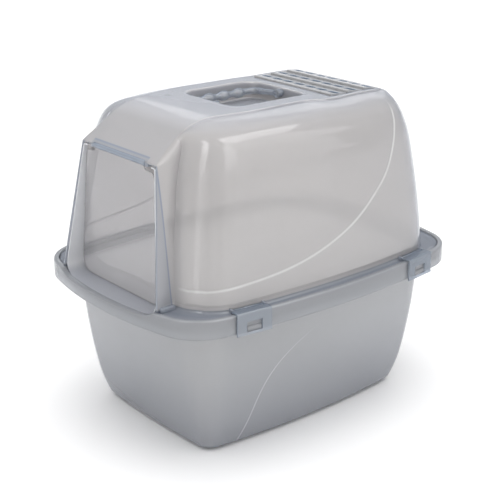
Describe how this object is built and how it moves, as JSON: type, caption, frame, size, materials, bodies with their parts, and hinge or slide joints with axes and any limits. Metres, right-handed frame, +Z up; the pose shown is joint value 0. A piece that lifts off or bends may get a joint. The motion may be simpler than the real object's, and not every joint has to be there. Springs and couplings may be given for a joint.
{
  "type": "hooded litter box",
  "caption": "Front-entry cat litter pan with a translucent clip-on hood, swinging entrance flap, roof vent and fold-away carry handle.",
  "frame": {"origin": "middle of the flat underside of the pan", "axes": "+Z up, +X to the right of someone looking into the entrance, the entrance faces -Y"},
  "size_m": [0.3548, 0.4798, 0.41],
  "materials": {
    "pan_plastic": "smoke grey translucent moulding",
    "hood_plastic": "smoke grey translucent moulding",
    "flap_plastic": "clear smoke, polished",
    "handle_plastic": "smoke grey translucent moulding",
    "vent_plastic": "smoke grey translucent moulding",
    "latch_plastic": "smoke grey translucent moulding",
    "filter_pad": "felted fibre pad"
  },
  "bodies": {
    "pan": {"litter_pan": "pan_plastic"},
    "hood_shell": {"hood": "hood_plastic"},
    "flap": {"door_flap": "flap_plastic"},
    "handle": {"carry_handle": "handle_plastic"},
    "vent": {"vent_cover": "vent_plastic"},
    "filter": {"air_filter": "filter_pad"},
    "clip_front_right": {"latch_front_right": "latch_plastic"},
    "clip_rear_right": {"latch_rear_right": "latch_plastic"},
    "clip_front_left": {"latch_front_left": "latch_plastic"},
    "clip_rear_left": {"latch_rear_left": "latch_plastic"}
  },
  "joints": [
    {"name": "hood_lift", "type": "slide", "parent": "pan", "child": "hood_shell", "axis": [0, 0, 1], "range_m": [0, 0.12]},
    {"name": "flap_hinge", "type": "hinge", "parent": "hood_shell", "child": "flap", "pos_m": [0, -0.2015, 0.3645], "axis": [1, 0, 0], "range_deg": [-60, 70]},
    {"name": "handle_hinge", "type": "hinge", "parent": "hood_shell", "child": "handle", "pos_m": [0.006, -0.0115, 0.4024], "axis": [0, 1, 0], "range_deg": [0, 95]},
    {"name": "vent_cover_lift", "type": "slide", "parent": "hood_shell", "child": "vent", "axis": [0, 0, 1], "range_m": [0, 0.08]},
    {"name": "filter_pull", "type": "slide", "parent": "vent", "child": "filter", "axis": [0, 0, -1], "range_m": [0, 0.06]},
    {"name": "clip_front_right_hinge", "type": "hinge", "parent": "hood_shell", "child": "clip_front_right", "pos_m": [0.15706, -0.13723, 0.2033], "axis": [-0.1225, -0.9925, 0], "range_deg": [0, 90]},
    {"name": "clip_rear_right_hinge", "type": "hinge", "parent": "hood_shell", "child": "clip_rear_right", "pos_m": [0.15706, 0.13723, 0.2033], "axis": [0.1225, -0.9925, 0], "range_deg": [0, 90]},
    {"name": "clip_front_left_hinge", "type": "hinge", "parent": "hood_shell", "child": "clip_front_left", "pos_m": [-0.15706, -0.13723, 0.2033], "axis": [-0.1225, 0.9925, 0], "range_deg": [0, 90]},
    {"name": "clip_rear_left_hinge", "type": "hinge", "parent": "hood_shell", "child": "clip_rear_left", "pos_m": [-0.15706, 0.13723, 0.2033], "axis": [0.1225, 0.9925, 0], "range_deg": [0, 90]}
  ]
}
